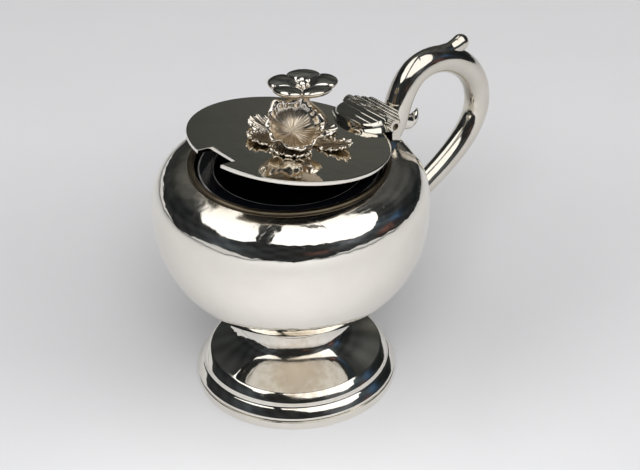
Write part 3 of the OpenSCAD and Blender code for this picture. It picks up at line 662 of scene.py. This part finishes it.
stem_rings = stem_path[:, None] + stem_radii[..., None] * stem_round
stem_rings[0, :, 2] = seam
points, faces = capped(stem_rings, stem_path[0], stem_path[-1])
stem = (ajar(points + (0, 0, lid_top)), faces)
stem_tone = np.full(len(points), 0.7)
add_piece("stem_wire", stem, spray_silver, "lid", ["finial_stem"], 40, stem_tone)

# Flower: five puffed petals with thick rims, cast in one and soldered to the calyx. The small lobed
# button in its heart is cast and soldered too, and is the CAD solid.
flower_r, petal_t, petal_turn = 8.15, 0.9, 0.22
dress("flower_button", spray_silver)


def flower_face(s, a):
    """Five petals: the edge swells with |cos 2.5a|^0.4 and the face rises with s^2. Returns the
    radius, the height and the swelling."""
    lobe = np.abs(np.cos(2.5 * (a + petal_turn))) ** 0.4
    return s * flower_r * (0.76 + 0.24 * lobe), petal_t + 1.1 * s**2, lobe


def flower_upper(s, a):
    """The petals' face, each petal puffed up by 0.95 mm in its middle with a groove to the next."""
    r, z, lobe = flower_face(s, a)
    puff = 0.95 * lobe * np.sin(np.pi * np.clip((s - 0.2) / 0.85, 0, 1)) ** 0.8
    return rayed(r, a, z + puff - 0.3 * s * (1 - lobe) - 0.35 * np.exp(-(((s - 0.28) / 0.1) ** 2)))


def flower_lower(s, a):
    """Underside: the face let down by the petals' thickness, flat at the calyx."""
    r, z, lobe = flower_face(s, a)
    return rayed(r, a, np.maximum(0, z - petal_t - 0.4 * s - 0.3 * s * (1 - lobe)))


def flower_tone(s, a):
    """The heart is toned, the petals are bright."""
    return np.clip(0.5 - s, 0, 1) + 0 * a


(points, faces), recess = sheet(flower_lower, flower_upper, flower_tone, 0.8, 50, 320)
head = (ajar(turned_to(points, flower_tilt, flower_turn, flower_at + (0, 0, lid_top))), faces)
add_piece("flower_head", head, silver, "lid", ["finial_flower"], 60, recess)

# Liner: a loose cup of very dark blue glass, blown in a mould, that hangs in the seat by its rim. Thin pale
# rings are painted on the rim's two edges, in patches, as painted reflections.
cup_r, liner_z, liner_depth, glass_t, rim_t = 20.35, 61.32, 28.0, 1.9, 1.9
liner_foot, curve_r, rim_r, lip = cup_r - 1.6, 7.0, seat_in - 0.35, rim_t / 2
liner_low, inner_r = liner_z - liner_depth, curve_r - glass_t
liner_outline = np.vstack([
    [(0, liner_low)],
    quarter((liner_foot - curve_r, liner_low + curve_r), (curve_r, curve_r), -90, 0, 20),
    [(cup_r, liner_z - 0.1), (cup_r + 0.1, liner_z)],
    quarter((rim_r - lip, liner_z + lip), (lip, lip), -90, 90, 24),
    quarter((cup_r - glass_t + lip, liner_z + lip), (lip, lip), 90, 180, 12),
    quarter((liner_foot - curve_r, liner_low + curve_r), (inner_r, inner_r), 0, -90, 20),
    [(0, liner_low + glass_t)]])
dark_glass, glass_tree, glass = principled("dark_glass")
glass.inputs["IOR"].default_value = 1.52
glass.inputs["Specular IOR Level"].default_value = 0.2
place = node(glass_tree, "ShaderNodeTexCoord").outputs["Object"]
smear = noise(glass_tree, place, 120.0, 4.0)
glass_tree.links.new(ranged(glass_tree, smear, 0.4, 0.8, 0.04, 0.16), glass.inputs["Roughness"])
from_axis = vectors(glass_tree, "LENGTH", vectors(glass_tree, "MULTIPLY", place, (1, 1, 0)))
# Painted reflection: pale rings in the glass's colour at the rim's two edges, broken into patches.
painted_rim_glint = 0.0
for edge_r in (0.0190, 0.0225):
    off = maths(glass_tree, "ABSOLUTE", maths(glass_tree, "SUBTRACT", from_axis, edge_r))
    painted_rim_glint = maths(glass_tree, "ADD", ranged(glass_tree, off, 0.00026, 0.00006), painted_rim_glint)
patchy_rim_glint = maths(glass_tree, "MULTIPLY", painted_rim_glint, ranged(glass_tree, smear, 0.35, 0.6, 0.2, 1.0))
glaze = mixed(glass_tree, patchy_rim_glint, (0.003, 0.0035, 0.005), (0.30, 0.30, 0.29))
glass_tree.links.new(glaze, glass.inputs["Base Color"])
add_piece("liner_cup", turned(liner_outline, 224), dark_glass, "liner", ["glass_liner"])

# Table: a pale matt board that fills the picture. A pool of light is painted on it in front of the pot, and
# a painted shadow darkens an oval behind it, as seen from the camera, whose angles are counted from here on.
camera_az, camera_el, camera_roll = math.radians(-38.785), math.radians(33.70), math.radians(-2.036)
table_reach = 6.0
table, board_tree, board = principled("table_board")
board.inputs["Roughness"].default_value = 0.9
board.inputs["Specular IOR Level"].default_value = 0.1
place = node(board_tree, "ShaderNodeTexCoord").outputs["Object"]
lay = node(board_tree, "ShaderNodeMapping", {"Vector": place, "Rotation": (0, 0, -camera_az)}).outputs[0]
# Painted light: the board's colour is brightest just in front of the pot.
painted_light_pool = vectors(board_tree, "DISTANCE", lay, (0, -0.07, 0))
painted_light_pool = ranged(board_tree, painted_light_pool, 0.0, 0.11, 0.95, 0.81, "SMOOTHSTEP")
# Painted shadow: an oval behind the pot is darker, standing for the pot's soft shadow.
behind = vectors(board_tree, "SUBTRACT", lay, (0, 0.045, 0))
behind = vectors(board_tree, "LENGTH", vectors(board_tree, "MULTIPLY", behind, (6.0, 11.0, 0)))
painted_shadow = ranged(board_tree, behind, 0.2, 1.2, 0.84, 1.0, "SMOOTHSTEP")
grain = ranged(board_tree, noise(board_tree, place, 40.0, 4.0), start=0.985, end=1.015)
pale = maths(board_tree, "MULTIPLY", painted_light_pool, maths(board_tree, "MULTIPLY", painted_shadow, grain))
tint = node(board_tree, "ShaderNodeVectorMath", {0: (0.99, 0.99, 1.01), "Scale": pale}, operation="SCALE")
board_tree.links.new(tint.outputs[0], board.inputs["Base Color"])
table_corners = [(-table_reach, -table_reach, 0), (table_reach, -table_reach, 0),
                 (table_reach, table_reach, 0), (-table_reach, table_reach, 0)]
table_mesh = bpy.data.meshes.new("table_top")
table_mesh.from_pydata(table_corners, [], [(0, 1, 2, 3)])
table_mesh.materials.append(table)
table_top = bpy.data.objects.new("table_top", table_mesh)
bpy.context.scene.collection.objects.link(table_top)

# Studio: two big soft boxes overhead with a gap between them, and a soft lamp beside the camera that
# only lights the table. Directions are counted from the camera's side and to the picture's right.
towards = np.array([math.sin(camera_az), -math.cos(camera_az)])
rightward = np.array([math.cos(camera_az), math.sin(camera_az)])
box_h, box_light = 0.95, (1.45, 1.44, 1.42)


def glowing(name, points, faces, colour):
    """Object of the studio that the camera doesn't see, made of plain light of one colour, or of the
    mesh's own tone if the colour is None."""
    mesh = bpy.data.meshes.new(name)
    mesh.from_pydata(np.asarray(points).tolist(), [], faces)
    glow = bpy.data.materials.new(name)
    glow.use_nodes = True
    tree = glow.node_tree
    tree.nodes.remove(tree.nodes["Principled BSDF"])
    light = node(tree, "ShaderNodeEmission", {"Strength": 1.0})
    if colour is None:
        own_tone = node(tree, "ShaderNodeAttribute", attribute_name="tone").outputs["Color"]
        tree.links.new(own_tone, light.inputs["Color"])
    else:
        light.inputs["Color"].default_value = (*colour, 1)
    tree.links.new(light.outputs[0], tree.nodes["Material Output"].inputs["Surface"])
    mesh.materials.append(glow)
    panel = bpy.data.objects.new(name, mesh)
    bpy.context.scene.collection.objects.link(panel)
    panel.visible_camera = False
    return panel


def overhead(corners, height):
    """Corners given per unit of height towards the camera and to the right, as points at that height."""
    c = np.asarray(corners) * height
    return np.column_stack([c[:, :1] * towards + c[:, 1:] * rightward, np.full(len(c), height)])


box_left = [(-0.85, -0.18), (-0.79, -0.37), (-0.46, -0.66), (-0.06, -0.93), (0.60, -1.08), (0.76, -0.80),
            (0.66, -0.46), (0.18, -0.27), (-0.62, -0.12)]
box_right = [(-0.40, 0.0), (0.2, -0.15), (0.75, -0.32), (0.97, -0.03), (1.10, 0.32), (1.02, 0.69),
             (0.91, 1.17), (0.72, 1.56), (0.45, 1.66), (-0.26, 0.68), (-0.44, 0.26)]
for name, corners in (("soft_box_left", box_left), ("soft_box_right", box_right)):
    glowing(name, overhead(corners, box_h), [list(range(len(corners)))], box_light)

arm = [(-0.50, -0.07), (-0.24, 0.07), (0.06, 0.27), (-0.20, 0.15), (-0.46, 0.02)]
arm_bar = glowing("lamp_arm", overhead(arm, box_h - 0.05), [list(range(len(arm)))], (0.03, 0.032, 0.035))
arm_bar.visible_diffuse = False
arm_bar.visible_shadow = False

front = bpy.data.lights.new("front_lamp", "AREA")
front.size, front.energy, front.color = 0.6, 8.0, (0.98, 0.985, 1.0)
front_lamp = bpy.data.objects.new("front_lamp", front)
front_lamp.location = (0.75 * towards[0], 0.75 * towards[1], 0.85)
front_lamp.rotation_euler = (math.radians(41.4), 0, camera_az)
front_lamp.visible_glossy = False
bpy.context.scene.collection.objects.link(front_lamp)

# Dark room: what the polished metal sees between the table and the lamps, a dim curtain with a ragged
# lower edge and a few paler places. It gives the table no light and throws no shadow.
eye_h, eye_r, room_r = 0.058, 0.034, 2.2
room_tone = (0.026, 0.028, 0.029)
room_az = np.arange(-180, 180, 2.0)
room_edge = [-4, 2, 9, 5, -2, 2, 10, 6, -1, -4, -1, 3, 4, 1, -5, -6, -3, -8, -4]
room_low = np.interp(room_az, np.arange(-180, 181, 20), room_edge)
room_low = room_low + 0.6 * np.sin(np.radians(room_az * 23)) + 0.5 * np.sin(np.radians(room_az * 41 + 60))
room_near = np.where(room_low < -3, eye_h / np.tan(np.radians(np.maximum(-room_low, 3))) + eye_r, 1.0)
rise = np.linspace(0, 1, 48)[:, None]
closing = (1 - rise) ** 3
room_el = np.radians(room_low + (88 - room_low) * rise)
room_reach = (room_near - eye_r) / np.cos(np.radians(room_low)) * closing + room_r * (1 - closing)
heading = np.cos(np.radians(room_az))[:, None] * towards + np.sin(np.radians(room_az))[:, None] * rightward
room_flat = (room_reach * np.cos(room_el) + eye_r)[..., None] * heading
room_up = np.maximum(0.0005, eye_h + room_reach * np.sin(room_el))
room = np.concatenate([room_flat, room_up[..., None]], -1)

# Each paler or darker place: azimuth, elevation, width and height in degrees, and the colour it adds.
room_places = (
    (-60, 24, 16, 16, (0.035, 0.042, 0.052)), (-42, 16, 14, 10, (0.022, 0.027, 0.03)),
    (50, 28, 15, 15, (0.11, 0.12, 0.135)), (164, 12, 15, 8, (0.07, 0.065, 0.055)),
    (172, 20, 60, 14, (-0.003, -0.002, -0.004)), (-118, 28, 18, 16, (-0.010, -0.010, -0.009)),
    (120, 12, 18, 14, (-0.015, -0.015, -0.014)), (80, 12, 7, 7, (0.10, 0.032, 0.02)),
    (95, 20, 7, 8, (0.015, 0.05, 0.11)), (20, 14, 9, 5, (0.075, 0.028, 0.018)),
    (180, 48, 32, 15, (0.070, 0.074, 0.070)), (-166, 36, 20, 14, (0.06, 0.06, 0.055)),
    (78, 33, 14, 12, (0.05, 0.07, 0.09)), (140, 36, 22, 16, (0.05, 0.05, 0.05)))
tone = np.broadcast_to(np.array(room_tone), (*room_up.shape, 3)).copy()
for az, el, wide, tall, colour in room_places:
    aside = (room_az - az + 180) % 360 - 180
    glow = np.exp(-((aside / wide) ** 2) - ((np.degrees(room_el) - el) / tall) ** 2)
    tone += glow[..., None] * np.array(colour)
mottle = np.sin(np.radians(room_az * 13)) * np.sin(room_el * 17 + np.radians(room_az * 5))
tone *= (1 + 0.35 * mottle)[..., None]
curtain = glowing("dark_room", room.reshape(-1, 3), grid_faces(*room.shape[:2]).tolist(), None)
paint = np.concatenate([np.clip(tone, 0.006, 1), np.ones((*room_up.shape, 1))], -1)
paint_layer = curtain.data.attributes.new("tone", "FLOAT_COLOR", "POINT")
paint_layer.data.foreach_set("color", paint.astype(np.float32).ravel())
curtain.visible_diffuse = False
curtain.visible_shadow = False

# Backdrop: the world is a pale grey to the camera and to what it sees mirrored, and only a dim fill
# as light.
world = bpy.data.worlds.new("studio")
bpy.context.scene.world = world
world.use_nodes = True
sky_tree = world.node_tree
sky = sky_tree.nodes["Background"]
seen = node(sky_tree, "ShaderNodeLightPath").outputs
in_sight = maths(sky_tree, "ADD", seen["Is Camera Ray"], seen["Is Glossy Ray"])
in_sight = maths(sky_tree, "ADD", in_sight, seen["Is Transmission Ray"])
sky_tree.links.new(ranged(sky_tree, in_sight, start=0.12, end=0.66), sky.inputs["Strength"])
sky.inputs["Color"].default_value = (1, 1, 1.01, 1)

# Camera: a long lens, half a metre from the pot and above it, held a little askew, as the picture was
# taken. It looks level with the pot's neck, and the lens is shifted to frame the pot.
camera_far, aim_z = 0.5118, 0.035
away = np.array([*(towards * math.cos(camera_el)), math.sin(camera_el)])
right = np.array([*rightward, 0.0])
up = np.cross(away, right)
c, s = math.cos(camera_roll), math.sin(camera_roll)
right, up = c * right + s * up, -s * right + c * up
lens = bpy.data.cameras.new("camera")
lens.lens, lens.sensor_width = 112.5, 36.0
lens.shift_x, lens.shift_y = 0.0428, 0.0375
lens.clip_start, lens.clip_end = 0.01, 50
camera = bpy.data.objects.new("camera", lens)
at = np.array([0, 0, aim_z]) + camera_far * away
camera.matrix_world = Matrix([[right[k], up[k], away[k], at[k]] for k in range(3)] + [[0, 0, 0, 1]])
bpy.context.scene.collection.objects.link(camera)
bpy.context.scene.camera = camera
bpy.context.scene.view_settings.view_transform = "Standard"
